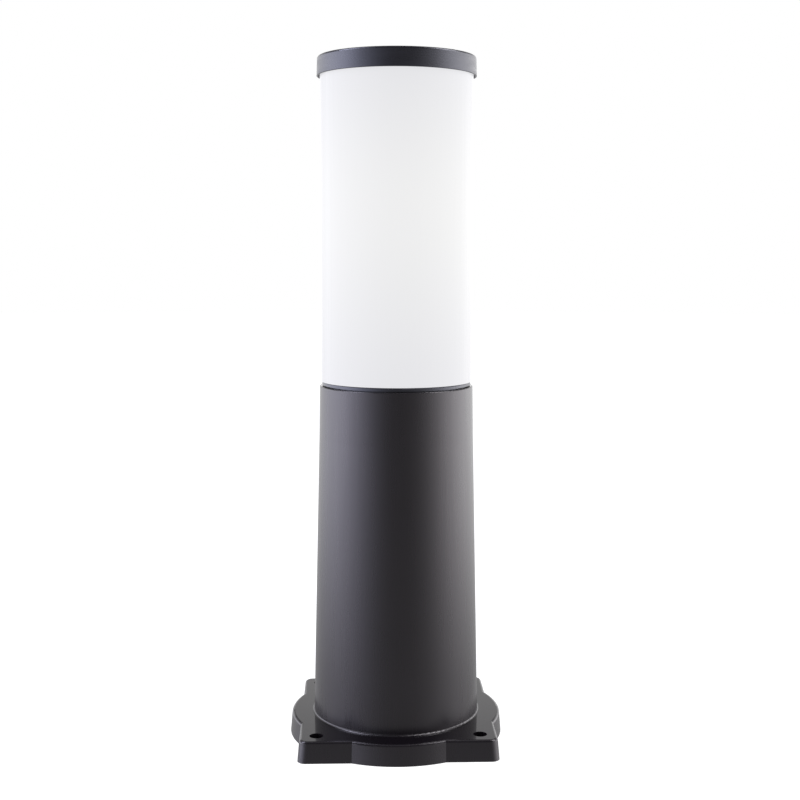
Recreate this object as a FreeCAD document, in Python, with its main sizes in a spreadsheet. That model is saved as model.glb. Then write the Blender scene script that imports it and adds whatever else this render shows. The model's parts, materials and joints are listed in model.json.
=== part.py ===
"""Bollard light, 450 mm high: a moulded post on a screw-down foot, an opal tube and a cap.

The head (cap, tube and collar) stands on a bayonet spigot inside the top of the post.
It twists free and lifts off to reach the lamp. All sizes are in millimetres, +Z is up,
and the origin is the middle of the foot's underside.
"""
import FreeCAD, Part
import math
import os
import re

import Sketcher
from FreeCAD import Vector

# ---------------------------------------------------------------- driving dimensions

DIMENSIONS = {
    # post wall, a cone with a slightly steeper draft below the bend
    "total_height": 450.0,
    "post_foot_radius": 56.0,
    "post_bend_height": 201.5,
    "post_bend_radius": 51.4,
    "post_height": 236.3,
    "post_top_radius": 50.85,
    "post_wall": 3.0,
    "post_rim_rounding": 0.7,
    "foot_fillet": 1.2,
    # foot flange: a round plate joined to a square one, hollow underneath
    "flange_height": 14.0,
    "flange_disc_radius": 71.8,
    "flange_square_half": 65.1,
    "flange_draft": 5.0,
    "flange_corner_radius": 5.5,
    "flange_edge_rounding": 1.8,
    "flange_wall": 3.0,
    "flange_rib_count": 8,
    "flange_rib_thickness": 2.5,
    "flange_rib_reach": 70.0,
    "anchor_spacing": 106.0,
    "anchor_count": 4,
    "anchor_hole_radius": 4.5,
    "anchor_boss_radius": 9.0,
    # bosses inside the post that carry the lamp carrier
    "carrier_boss_count": 3,
    "carrier_boss_circle": 35.0,
    "carrier_boss_radius": 4.5,
    "carrier_boss_length": 30.0,
    "carrier_boss_web": 3.0,
    "carrier_boss_web_reach": 49.5,
    "pilot_hole_radius": 1.45,
    "pilot_hole_depth": 15.0,
    # lamp carrier
    "carrier_height": 218.0,
    "carrier_thickness": 3.0,
    "carrier_radius": 47.3,
    "platform_radius": 21.5,
    "platform_height": 4.0,
    "spigot_outer_radius": 43.0,
    "spigot_wall": 2.5,
    "spigot_length": 19.0,
    "box_screw_offset": 31.0,
    "box_screw_boss_radius": 4.0,
    "box_screw_boss_height": 6.0,
    # bayonet between spigot and collar
    "bayonet_count": 3,
    "bayonet_twist": 25.0,
    "lug_angle": 11.0,
    "lug_height": 4.0,
    "lug_inner_radius": 41.4,
    "lug_lift": 1.0,
    "slot_angle": 14.0,
    "slot_clearance": 0.5,
    # head: collar, tube and cap
    "seal_thickness": 5.0,
    "sleeve_outer_radius": 46.9,
    "sleeve_inner_radius": 44.5,
    "band_height": 237.0,
    "band_radius": 49.3,
    "band_rounding": 0.8,
    "tube_seat_height": 239.25,
    "collar_spigot_radius": 46.7,
    "collar_spigot_length": 10.0,
    "tube_radius": 50.0,
    "tube_wall": 3.0,
    "cap_seal_thickness": 1.5,
    "cap_top_radius": 51.7,
    "cap_rim_radius": 52.1,
    "cap_rim_height": 437.6,
    "cap_thickness": 2.5,
    "cap_tube_gap": 0.1,
    "cap_skirt_wall": 0.9,
    "cap_spigot_wall": 2.5,
    "cap_spigot_depth": 14.5,
    "cap_rounding": 1.5,
    "cap_rim_rounding": 0.3,
    # E27 lampholder
    "holder_radius": 20.0,
    "holder_waist_radius": 18.6,
    "holder_waist_height": 14.0,
    "holder_waist_slope": 2.0,
    "holder_mouth_rounding": 0.6,
    "holder_height": 45.0,
    "holder_floor": 8.5,
    "holder_ledge": 18.0,
    "holder_bore_radius": 15.0,
    "holder_lower_bore_radius": 13.4,
    "holder_screw_offset": 9.5,
    "holder_shell_radius": 14.4,
    "holder_shell_wall": 0.6,
    "holder_shell_length": 25.0,
    "contact_width": 6.0,
    "contact_thickness": 0.6,
    "contact_reach": 10.0,
    "contact_foot": 4.0,
    "contact_heel": 2.0,
    # lamp, an A60 bulb with an E27 cap
    "lamp_tip_height": 240.0,
    "lamp_tip_radius": 4.5,
    "lamp_tip_thickness": 1.4,
    "lamp_tip_chamfer": 0.8,
    "lamp_insulator_step": 0.5,
    "lamp_insulator_radius": 11.0,
    "lamp_insulator_height": 3.0,
    "lamp_shell_radius": 13.2,
    "lamp_shell_wall": 0.5,
    "lamp_shell_length": 19.6,
    "lamp_thread_pitch": 3.62,
    "lamp_thread_depth": 0.8,
    "lamp_neck_radius": 13.6,
    "lamp_neck_length": 10.0,
    "lamp_housing_wall": 1.5,
    "lamp_ledge_lean": 0.75,
    "lamp_ledge_width": 1.5,
    "globe_radius": 30.0,
    "globe_wall": 1.2,
    "globe_centre_height": 318.0,
    "globe_rim_height": 300.0,
    "led_board_radius": 20.5,
    "led_board_thickness": 1.6,
    "driver_board_width": 18.0,
    "driver_board_length": 26.0,
    "driver_board_thickness": 1.6,
    "board_clearance": 1.0,
    # wiring box under the carrier
    "box_length": 48.0,
    "box_width": 44.0,
    "box_bottom": 188.0,
    "box_wall": 2.0,
    "box_floor": 2.5,
    "box_corner_radius": 4.0,
    "box_seal_thickness": 1.5,
    "box_ear_radius": 4.5,
    "box_ear_height": 10.0,
    # terminal block
    "block_length": 26.0,
    "block_width": 17.0,
    "block_height": 14.0,
    "pole_spacing": 12.0,
    "clamp_radius": 2.6,
    "clamp_bore_radius": 1.7,
    "clamp_length": 15.0,
    "clamp_height": 210.0,
    # leads from the block to the lampholder
    "lead_radius": 1.1,
    "lead_start": 3.5,
    "lead_offset": 15.5,
    "lead_bend": 7.0,
    "lead_hole_radius": 1.6,
    "lead_top_height": 230.0,
    "terminal_width": 5.4,
    "terminal_depth": 5.0,
    "terminal_height": 6.0,
    "terminal_bottom": 227.0,
    "terminal_pocket_gap": 0.3,
    # screws
    "screw_radius": 1.4,
    "screw_head_radius": 3.0,
    "screw_head_height": 2.4,
    "screw_slot_width": 0.9,
    "screw_slot_depth": 1.0,
    "screw_hole_radius": 1.8,
    "pilot_roof": 1.0,
    "fixing_screw_reach": 3.0,
    "terminal_screw_radius": 1.2,
    "terminal_screw_head_radius": 1.9,
    "terminal_screw_head_height": 1.6,
    "terminal_screw_reach": 1.2,
    "terminal_screw_gap": 0.2,
    # cable gland
    "gland_thread_radius": 7.8,
    "gland_hole_radius": 8.1,
    "gland_thread_length": 9.0,
    "gland_flange_flats": 20.0,
    "gland_flange_height": 5.0,
    "gland_washer_radius": 10.5,
    "gland_washer_thickness": 1.0,
    "gland_stem_radius": 7.2,
    "gland_stem_length": 8.0,
    "gland_bore_radius": 6.0,
    "gland_seal_wall": 1.3,
    "gland_seal_length": 14.0,
    "gland_nut_length": 13.0,
    "gland_nut_bore_radius": 7.6,
    "gland_nut_roof": 3.0,
    "gland_locknut_flats": 20.0,
    "gland_locknut_height": 4.0,
    "gland_nut_gap": 0.5,
    "gland_seal_drop": 1.0,
    # how far a cutting outline runs past the face that it cuts
    "overcut": 1.0,
}

# lengths and volumes closer than this count as equal
TOLERANCE = 0.01

doc = FreeCAD.newDocument("bollard_light")
dims = doc.addObject("Spreadsheet::Sheet", "dims")
for row, (alias, size) in enumerate(DIMENSIONS.items(), start=1):
    dims.set(f"A{row}", alias)
    dims.set(f"B{row}", str(size))
    dims.setAlias(f"B{row}", alias)
doc.recompute()

# ---------------------------------------------------------------- expressions

def bound(text):
    """An expression over the sheet's aliases, written without the sheet's name."""
    return re.sub(r"[a-z_]+", lambda word: "dims." + word[0] if word[0] in DIMENSIONS else word[0], text)


def number(text):
    """The present value of an expression over the sheet's aliases."""
    answer = dims.evalExpression(bound(text))
    return float(getattr(answer, "Value", answer))


def bind(thing, prop, text):
    """Bind one property of a document object to an expression over the sheet."""
    thing.setExpression(prop, bound(text))


# ---------------------------------------------------------------- sketches

def new_body(label):
    body = doc.addObject("PartDesign::Body", label)
    body.Label = label
    body.AllowCompound = True
    return body


def origin_feature(body, role):
    return next(feature for feature in body.Origin.OriginFeatures if feature.Role == role)


def new_sketch(body, plane="XY_Plane", lift="0", across="0", along="0"):
    """Sketch on one of the body's origin planes, shifted by expressions in the plane's own axes."""
    sketch = body.newObject("Sketcher::SketchObject", body.Label + "_sketch")
    sketch.AttachmentSupport = (origin_feature(body, plane), [""])
    sketch.MapMode = "FlatFace"
    for axis, shift in zip("xyz", (across, along, lift)):
        bind(sketch, f".AttachmentOffset.Base.{axis}", shift)
    return sketch


def place_point(sketch, geometry, point, corner):
    """Tie one point of the sketch to the sketch's origin by two bound distances."""
    for kind, text in zip(("DistanceX", "DistanceY"), corner):
        constraint = Sketcher.Constraint(kind, -1, 1, geometry, point, number(text))
        index = sketch.addConstraint(constraint)
        bind(sketch, f"Constraints[{index}]", text)


def polygon(sketch, corners):
    """Closed outline of straight sides. Each corner is a pair of expressions."""
    places = [Vector(number(across), number(up), 0) for across, up in corners]
    sides = [sketch.addGeometry(Part.LineSegment(start, end))
             for start, end in zip(places, places[1:] + places[:1])]
    for side, following in zip(sides, sides[1:] + sides[:1]):
        sketch.addConstraint(Sketcher.Constraint("Coincident", side, 2, following, 1))
    for side, corner in zip(sides, corners):
        place_point(sketch, side, 1, corner)
    return sketch


def rectangle(sketch, left, right, low, high):
    return polygon(sketch, [(left, low), (right, low), (right, high), (left, high)])


def hexagon(sketch, flats):
    """Hexagon about the sketch's origin, given by its size across the flats."""
    corners = [(f"{flats} / sqrt(3) * cos({60 * corner})", f"{flats} / sqrt(3) * sin({60 * corner})")
               for corner in range(6)]
    return polygon(sketch, corners)


def circle(sketch, radius, centre=("0", "0")):
    middle = Vector(number(centre[0]), number(centre[1]), 0)
    geometry = sketch.addGeometry(Part.Circle(middle, Vector(0, 0, 1), number(radius)))
    place_point(sketch, geometry, 3, centre)
    index = sketch.addConstraint(Sketcher.Constraint("Radius", geometry, number(radius)))
    bind(sketch, f"Constraints[{index}]", radius)
    return sketch


# ---------------------------------------------------------------- features

def add_feature(body, kind, sketch):
    feature = body.newObject(f"PartDesign::{kind}", f"{body.Label}_{kind.lower()}")
    feature.Profile = sketch
    return feature


def check_cut(body, before, name):
    """A cut that points away from the solid removes nothing and reports no error."""
    doc.recompute()
    if body.Shape.Volume > before - TOLERANCE:
        raise RuntimeError(f"{name} of {body.Label} cut nothing")


def pad(body, sketch, length, both_ways=False, draft=None):
    feature = add_feature(body, "Pad", sketch)
    bind(feature, "Length", length)
    feature.Midplane = both_ways
    if draft:
        bind(feature, "TaperAngle", draft)
    return feature


def pocket(body, sketch, length, both_ways=False):
    """Cut from the sketch towards its normal, or to both sides of it."""
    doc.recompute()
    before = body.Shape.Volume
    feature = add_feature(body, "Pocket", sketch)
    bind(feature, "Length", length)
    feature.Reversed = not both_ways
    feature.Midplane = both_ways
    check_cut(body, before, "a pocket")
    return feature


def revolution(body, sketch, angle="360", both_ways=False):
    """Turn the profile about the sketch's vertical axis."""
    feature = add_feature(body, "Revolution", sketch)
    feature.ReferenceAxis = (sketch, ["V_Axis"])
    bind(feature, "Angle", angle)
    feature.Midplane = both_ways
    return feature


def groove(body, sketch, angle="360", both_ways=False, clockwise=False):
    doc.recompute()
    before = body.Shape.Volume
    feature = add_feature(body, "Groove", sketch)
    feature.ReferenceAxis = (sketch, ["V_Axis"])
    bind(feature, "Angle", angle)
    feature.Midplane = both_ways
    feature.Reversed = clockwise
    check_cut(body, before, "a groove")
    return feature


def polar_pattern(body, features, count):
    pattern = body.newObject("PartDesign::PolarPattern", body.Label + "_pattern")
    pattern.Originals = features
    pattern.Axis = (origin_feature(body, "Z_Axis"), [""])
    bind(pattern, "Occurrences", count)
    body.Tip = pattern
    return pattern


def mirror(body, features, plane="YZ_Plane"):
    mirrored = body.newObject("PartDesign::Mirrored", body.Label + "_mirror")
    mirrored.Originals = features
    mirrored.MirrorPlane = (origin_feature(body, plane), [""])
    body.Tip = mirrored
    return mirrored


def round_edges(body, radius, wanted):
    """Fillet every edge of the body that the test accepts."""
    doc.recompute()
    tip = body.Tip
    names = [f"Edge{index}" for index, edge in enumerate(tip.Shape.Edges, start=1) if wanted(edge)]
    if not names:
        raise RuntimeError(f"no edge of {body.Label} to round")
    fillet = body.newObject("PartDesign::Fillet", body.Label + "_fillet")
    fillet.Base = (tip, names)
    bind(fillet, "Radius", radius)
    return fillet


def circle_at(radius, height):
    """Test for a level circular edge of one radius at one height."""
    def wanted(edge):
        curve = edge.Curve
        return (isinstance(curve, Part.Circle) and abs(curve.Radius - number(radius)) < TOLERANCE
                and abs(curve.Center.z - number(height)) < TOLERANCE and abs(curve.Axis.z) > 1 - TOLERANCE)
    return wanted


def turned(label, corners):
    """Body of revolution about Z, from (radius, height) corners."""
    body = new_body(label)
    revolution(body, polygon(new_sketch(body, "XZ_Plane"), corners))
    return body


def ring(label, inner, outer, low, high):
    return turned(label, [(inner, low), (outer, low), (outer, high), (inner, high)])


def screw(body, head_end, seat, tip, plane="XZ_Plane", offset="0", lift="0", small=False):
    """Screw along the sketch's vertical axis, with a slot across its head."""
    kind = "terminal_screw" if small else "screw"
    head_radius, shank_radius = f"{kind}_head_radius", f"{kind}_radius"
    profile = [("0", head_end), (head_radius, head_end), (head_radius, seat),
               (shank_radius, seat), (shank_radius, tip), ("0", tip)]
    shank = revolution(body, polygon(new_sketch(body, plane, lift, offset), profile))
    inward = "-" if number(head_end) > number(seat) else "+"
    slot_sketch = new_sketch(body, plane, lift, offset)
    rectangle(slot_sketch, "-screw_slot_width / 2", "screw_slot_width / 2",
              f"{head_end} {inward} screw_slot_depth", head_end)
    slot = pocket(body, slot_sketch, "screw_head_radius * 2 + overcut", both_ways=True)
    return [shank, slot]


# ---------------------------------------------------------------- post and foot

def make_post():
    """One moulding: the hollow foot flange, the tapered wall and the bosses inside it."""
    body = new_body("post")
    square = rectangle(new_sketch(body), "-flange_square_half", "flange_square_half",
                       "-flange_square_half", "flange_square_half")
    pad(body, square, "flange_height", draft="-flange_draft")
    round_edges(body, "flange_corner_radius", lambda edge: edge.BoundBox.ZLength > TOLERANCE)
    disc = [("0", "0"), ("flange_disc_radius", "0"),
            ("flange_disc_radius - flange_height * tan(flange_draft)", "flange_height"), ("0", "flange_height")]
    revolution(body, polygon(new_sketch(body, "XZ_Plane"), disc))
    round_edges(body, "flange_edge_rounding",
                lambda edge: edge.BoundBox.ZMin > number("flange_height") - TOLERANCE)

    tray_depth = "flange_height - flange_wall"
    inner_half = "flange_square_half - flange_wall"
    pocket(body, rectangle(new_sketch(body), f"-({inner_half})", inner_half, f"-({inner_half})", inner_half),
           tray_depth)
    pocket(body, circle(new_sketch(body), "flange_disc_radius - flange_wall"), tray_depth)
    pocket(body, circle(new_sketch(body), "post_foot_radius - post_wall / 2"), "flange_height")

    wall = [("post_foot_radius", "0"), ("post_bend_radius", "post_bend_height"),
            ("post_top_radius", "post_height"), ("post_top_radius - post_wall", "post_height"),
            ("post_bend_radius - post_wall", "post_bend_height"), ("post_foot_radius - post_wall", "0")]
    revolution(body, polygon(new_sketch(body, "XZ_Plane"), wall))

    rib_sketch = rectangle(new_sketch(body, "XZ_Plane"), "post_foot_radius - post_wall / 2",
                           "flange_rib_reach", "0", f"{tray_depth} + flange_wall / 2")
    rib = pad(body, rib_sketch, "flange_rib_thickness", both_ways=True)
    polar_pattern(body, [rib], "flange_rib_count")

    anchor = ("anchor_spacing / 2", "anchor_spacing / 2")
    anchor_boss = pad(body, circle(new_sketch(body), "anchor_boss_radius", anchor),
                      f"{tray_depth} + flange_wall / 2")
    polar_pattern(body, [anchor_boss], "anchor_count")
    anchor_hole = pocket(body, circle(new_sketch(body), "anchor_hole_radius", anchor), "flange_height")
    polar_pattern(body, [anchor_hole], "anchor_count")

    boss_centre = ("0", "carrier_boss_circle")
    boss_bottom = "carrier_height - carrier_boss_length"
    boss = pad(body, circle(new_sketch(body, lift=boss_bottom), "carrier_boss_radius", boss_centre),
               "carrier_boss_length")
    web_sketch = rectangle(new_sketch(body, lift=boss_bottom), "-carrier_boss_web / 2",
                           "carrier_boss_web / 2", "carrier_boss_circle", "carrier_boss_web_reach")
    web = pad(body, web_sketch, "carrier_boss_length")
    polar_pattern(body, [boss, web], "carrier_boss_count")
    pilot_sketch = circle(new_sketch(body, lift="carrier_height - pilot_hole_depth"),
                          "pilot_hole_radius", boss_centre)
    pilot = pocket(body, pilot_sketch, "pilot_hole_depth")
    polar_pattern(body, [pilot], "carrier_boss_count")

    slope = "(post_foot_radius - post_bend_radius) / post_bend_height"
    round_edges(body, "foot_fillet",
                circle_at(f"post_foot_radius - flange_height * {slope}", "flange_height"))
    round_edges(body, "post_rim_rounding", circle_at("post_top_radius", "post_height"))
    return body


# ---------------------------------------------------------------- lamp carrier and head

CARRIER_TOP = "(carrier_height + carrier_thickness)"
PLATFORM_TOP = "(carrier_height + carrier_thickness + platform_height)"
SLEEVE_BOTTOM = "(carrier_height + carrier_thickness + seal_thickness)"
SPIGOT_TOP = "(carrier_height + carrier_thickness + spigot_length)"


def make_lamp_carrier():
    """Plate with the bayonet spigot, the lampholder's platform and the box screws' bosses."""
    body = turned("lamp_carrier", [("0", "carrier_height"), ("carrier_radius", "carrier_height"),
                                   ("carrier_radius", CARRIER_TOP),
                                   ("spigot_outer_radius", CARRIER_TOP), ("spigot_outer_radius", SPIGOT_TOP),
                                   ("spigot_outer_radius - spigot_wall", SPIGOT_TOP),
                                   ("spigot_outer_radius - spigot_wall", CARRIER_TOP),
                                   ("platform_radius", CARRIER_TOP), ("platform_radius", PLATFORM_TOP),
                                   ("0", PLATFORM_TOP)])
    box_boss = pad(body, circle(new_sketch(body, lift=CARRIER_TOP), "box_screw_boss_radius",
                                ("box_screw_offset", "0")), "box_screw_boss_height")
    mirror(body, [box_boss])
    box_pilot_sketch = circle(new_sketch(body, lift="carrier_height"), "pilot_hole_radius",
                              ("box_screw_offset", "0"))
    box_pilot = pocket(body, box_pilot_sketch, "carrier_thickness + box_screw_boss_height - pilot_roof")
    mirror(body, [box_pilot])

    mouth, floor = "spigot_outer_radius + overcut", "spigot_outer_radius - spigot_wall - overcut"
    slot_bottom = f"{SLEEVE_BOTTOM} + lug_lift - slot_clearance"
    entry_sketch = rectangle(new_sketch(body, "XZ_Plane"), floor, mouth, slot_bottom,
                             f"{SPIGOT_TOP} + overcut")
    entry = groove(body, entry_sketch, "slot_angle", both_ways=True)
    run_sketch = rectangle(new_sketch(body, "XZ_Plane"), floor, mouth, slot_bottom,
                           f"{slot_bottom} + lug_height + 2 * slot_clearance")
    run = groove(body, run_sketch, "bayonet_twist + slot_angle / 2", clockwise=True)
    polar_pattern(body, [entry, run], "bayonet_count")

    screw_hole = pocket(body, circle(new_sketch(body, lift="carrier_height"), "screw_hole_radius",
                                     ("0", "carrier_boss_circle")), "carrier_thickness")
    polar_pattern(body, [screw_hole], "carrier_boss_count")
    lead_hole_sketch = circle(new_sketch(body, lift="carrier_height"), "lead_hole_radius",
                              ("pole_spacing / 2", "lead_offset"))
    lead_hole = pocket(body, lead_hole_sketch, "carrier_thickness + platform_height")
    mirror(body, [lead_hole])
    holder_pilot_sketch = circle(new_sketch(body, lift="carrier_height + pilot_roof"), "pilot_hole_radius",
                                 ("0", "holder_screw_offset"))
    holder_pilot = pocket(body, holder_pilot_sketch, "carrier_thickness + platform_height - pilot_roof")
    mirror(body, [holder_pilot], "XZ_Plane")
    pocket(body, circle(new_sketch(body, lift="carrier_height"), "pilot_hole_radius"),
           "carrier_thickness + platform_height - pilot_roof")
    return body


def make_carrier_screws():
    body = new_body("carrier_screws")
    features = screw(body, f"{CARRIER_TOP} + screw_head_height", CARRIER_TOP,
                     f"{CARRIER_TOP} - pilot_hole_depth", plane="YZ_Plane", offset="carrier_boss_circle")
    polar_pattern(body, features, "carrier_boss_count")
    return body


def make_diffuser_collar():
    """Band that shows under the tube, a sleeve up into the tube and a sleeve down into the post."""
    body = turned("diffuser_collar", [("sleeve_inner_radius", SLEEVE_BOTTOM),
                                      ("sleeve_outer_radius", SLEEVE_BOTTOM),
                                      ("sleeve_outer_radius", "band_height"), ("band_radius", "band_height"),
                                      ("band_radius", "tube_seat_height"),
                                      ("collar_spigot_radius", "tube_seat_height"),
                                      ("collar_spigot_radius", "tube_seat_height + collar_spigot_length"),
                                      ("sleeve_inner_radius", "tube_seat_height + collar_spigot_length")])
    round_edges(body, "band_rounding", circle_at("band_radius", "tube_seat_height"))
    lug_sketch = rectangle(new_sketch(body, "XZ_Plane"), "lug_inner_radius", "sleeve_inner_radius + overcut",
                           f"{SLEEVE_BOTTOM} + lug_lift", f"{SLEEVE_BOTTOM} + lug_lift + lug_height")
    lug = revolution(body, lug_sketch, "lug_angle", both_ways=True)
    polar_pattern(body, [lug], "bayonet_count")
    return body


TUBE_TOP = "(total_height - cap_thickness - cap_seal_thickness)"
CAP_UNDERSIDE = "(total_height - cap_thickness)"


def make_cap():
    """Flat lid with a skirt outside the tube and a spigot inside it."""
    skirt_inner = "cap_rim_radius - cap_skirt_wall"
    spigot_inner = "collar_spigot_radius - cap_spigot_wall"
    spigot_bottom = f"{CAP_UNDERSIDE} - cap_spigot_depth"
    body = turned("cap", [("0", "total_height"), ("cap_top_radius", "total_height"),
                          ("cap_rim_radius", "cap_rim_height"), (skirt_inner, "cap_rim_height"),
                          (skirt_inner, f"{CAP_UNDERSIDE} - cap_thickness"),
                          ("tube_radius + cap_tube_gap", CAP_UNDERSIDE),
                          ("collar_spigot_radius", CAP_UNDERSIDE), ("collar_spigot_radius", spigot_bottom),
                          (spigot_inner, spigot_bottom), (spigot_inner, CAP_UNDERSIDE), ("0", CAP_UNDERSIDE)])
    round_edges(body, "cap_rounding", circle_at("cap_top_radius", "total_height"))
    round_edges(body, "cap_rim_rounding", circle_at("cap_rim_radius", "cap_rim_height"))
    return body


def make_head_rings():
    ring("spigot_seal", "sleeve_inner_radius", "sleeve_outer_radius", CARRIER_TOP, SLEEVE_BOTTOM)
    ring("diffuser", "tube_radius - tube_wall", "tube_radius", "tube_seat_height", TUBE_TOP)
    ring("cap_seal", "tube_radius - tube_wall", "tube_radius", TUBE_TOP, CAP_UNDERSIDE)


# ---------------------------------------------------------------- lampholder

HOLDER_FLOOR_TOP = f"({PLATFORM_TOP} + holder_floor)"
HOLDER_LEDGE_TOP = f"({PLATFORM_TOP} + holder_ledge)"
HOLDER_TOP = f"({PLATFORM_TOP} + holder_height)"
TERMINAL_SCREW_HEIGHT = "(lead_top_height + terminal_bottom + terminal_height) / 2 - terminal_screw_gap"


def make_lampholder():
    """Insulating cup with its screw shell, sprung centre contact, terminals and screws."""
    body = turned("lampholder_body", [("0", PLATFORM_TOP), ("holder_radius", PLATFORM_TOP),
                                      ("holder_radius", f"{PLATFORM_TOP} + holder_waist_height"),
                                      ("holder_waist_radius",
                                       f"{PLATFORM_TOP} + holder_waist_height + holder_waist_slope"),
                                      ("holder_waist_radius", HOLDER_TOP), ("holder_bore_radius", HOLDER_TOP),
                                      ("holder_bore_radius", HOLDER_LEDGE_TOP),
                                      ("holder_lower_bore_radius", HOLDER_LEDGE_TOP),
                                      ("holder_lower_bore_radius", HOLDER_FLOOR_TOP),
                                      ("0", HOLDER_FLOOR_TOP)])
    fixing = pocket(body, circle(new_sketch(body, lift=PLATFORM_TOP), "screw_hole_radius",
                                 ("0", "holder_screw_offset")), "holder_floor")
    mirror(body, [fixing], "XZ_Plane")
    pocket_low = "terminal_bottom - terminal_pocket_gap"
    recess_sketch = rectangle(new_sketch(body, lift=pocket_low),
                              "pole_spacing / 2 - terminal_width / 2 - terminal_pocket_gap",
                              "pole_spacing / 2 + terminal_width / 2 + terminal_pocket_gap",
                              "lead_offset - terminal_depth / 2 - terminal_pocket_gap",
                              "holder_radius + overcut")
    recess = pocket(body, recess_sketch, "terminal_height + 2 * terminal_pocket_gap")
    mirror(body, [recess])
    lead_way = pocket(body, circle(new_sketch(body, lift=PLATFORM_TOP), "lead_hole_radius",
                                   ("pole_spacing / 2", "lead_offset")), f"{pocket_low} - {PLATFORM_TOP}")
    mirror(body, [lead_way])
    round_edges(body, "holder_mouth_rounding", circle_at("holder_waist_radius", HOLDER_TOP))

    ring("lampholder_shell", "holder_shell_radius - holder_shell_wall", "holder_shell_radius",
         HOLDER_LEDGE_TOP, f"{HOLDER_LEDGE_TOP} + holder_shell_length")

    contact = new_body("lampholder_centre_contact")
    strip_top = "lamp_tip_height"
    strip = [("-contact_reach", HOLDER_FLOOR_TOP), ("-contact_reach + contact_foot", HOLDER_FLOOR_TOP),
             ("-contact_heel", f"{strip_top} - contact_thickness"),
             ("contact_width / 2", f"{strip_top} - contact_thickness"), ("contact_width / 2", strip_top),
             ("-contact_heel - contact_thickness", strip_top),
             ("-contact_reach + contact_foot - contact_thickness", f"{HOLDER_FLOOR_TOP} + contact_thickness"),
             ("-contact_reach", f"{HOLDER_FLOOR_TOP} + contact_thickness")]
    pad(contact, polygon(new_sketch(contact, "XZ_Plane"), strip), "contact_width", both_ways=True)

    terminals = new_body("lampholder_terminals")
    block_sketch = rectangle(new_sketch(terminals, lift="terminal_bottom"),
                             "pole_spacing / 2 - terminal_width / 2", "pole_spacing / 2 + terminal_width / 2",
                             "lead_offset - terminal_depth / 2", "lead_offset + terminal_depth / 2")
    block = pad(terminals, block_sketch, "terminal_height")
    bore = pocket(terminals, circle(new_sketch(terminals, lift="terminal_bottom"), "lead_radius",
                                    ("pole_spacing / 2", "lead_offset")), "lead_top_height - terminal_bottom")
    screw_way_sketch = circle(new_sketch(terminals, "XZ_Plane", lift="-(lead_offset + terminal_depth / 2)"),
                              "terminal_screw_radius", ("pole_spacing / 2", TERMINAL_SCREW_HEIGHT))
    screw_way = pocket(terminals, screw_way_sketch, "terminal_screw_reach")
    mirror(terminals, [block, bore, screw_way])

    screws = new_body("lampholder_terminal_screws")
    face = "(lead_offset + terminal_depth / 2)"
    features = screw(screws, f"{face} + terminal_screw_head_height", face,
                     f"{face} - terminal_screw_reach", plane="XY_Plane",
                     offset="pole_spacing / 2", lift=TERMINAL_SCREW_HEIGHT, small=True)
    mirror(screws, features)

    fixings = new_body("lampholder_screws")
    features = screw(fixings, f"{HOLDER_FLOOR_TOP} + screw_head_height", HOLDER_FLOOR_TOP,
                     "carrier_height + pilot_roof", plane="YZ_Plane", offset="holder_screw_offset")
    mirror(fixings, features, "XZ_Plane")


# ---------------------------------------------------------------- lamp

TIP_TOP = "(lamp_tip_height + lamp_tip_thickness)"
SHELL_BOTTOM = "(lamp_tip_height + lamp_tip_thickness + lamp_insulator_height)"
SHELL_TOP = f"({SHELL_BOTTOM} + lamp_shell_length)"
NECK_TOP = f"({SHELL_TOP} + lamp_neck_length)"


# shares of the pitch at which a thread ridge starts, reaches its crest, leaves it and ends
RIDGE_SHARES = (0.15, 0.4, 0.6, 0.85)


def make_lamp_cap():
    """The lamp's screw cap: centre contact, black insulator and threaded shell."""
    turned("lamp_tip_contact", [("0", "lamp_tip_height"),
                                ("lamp_tip_radius - lamp_tip_chamfer", "lamp_tip_height"),
                                ("lamp_tip_radius", "lamp_tip_height + lamp_tip_chamfer"),
                                ("lamp_tip_radius", TIP_TOP), ("0", TIP_TOP)])
    turned("lamp_cap_insulator", [("0", TIP_TOP), ("lamp_tip_radius + lamp_insulator_step", TIP_TOP),
                                  ("lamp_insulator_radius", SHELL_BOTTOM), ("0", SHELL_BOTTOM)])
    root = "lamp_shell_radius - lamp_thread_depth"
    inner = f"{root} - lamp_shell_wall"
    outline = [(inner, SHELL_BOTTOM), (root, SHELL_BOTTOM)]
    for turn in range(int(number("lamp_shell_length / lamp_thread_pitch"))):
        for share, radius in zip(RIDGE_SHARES, (root, "lamp_shell_radius", "lamp_shell_radius", root)):
            outline.append((radius, f"{SHELL_BOTTOM} + {turn + share} * lamp_thread_pitch"))
    turned("lamp_cap_shell", outline + [(root, SHELL_TOP), (inner, SHELL_TOP)])


def make_lamp_housing():
    """Plastic neck of the bulb, a hollow cone from the cap to the globe's rim."""
    rim_radius = "sqrt(pow(globe_radius; 2) - pow(globe_centre_height - globe_rim_height; 2))"
    ledge_radius = f"{rim_radius} - lamp_housing_wall - lamp_ledge_lean"
    shoulder = "globe_rim_height - led_board_thickness - board_clearance"
    turned("lamp_housing", [("lamp_neck_radius - lamp_housing_wall", SHELL_TOP),
                            ("lamp_neck_radius", SHELL_TOP),
                            ("lamp_neck_radius", NECK_TOP), (rim_radius, "globe_rim_height"),
                            (f"{rim_radius} - lamp_housing_wall", "globe_rim_height"),
                            (ledge_radius, shoulder), (f"{ledge_radius} - lamp_ledge_width", shoulder),
                            ("lamp_neck_radius - lamp_housing_wall", NECK_TOP)])


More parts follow.
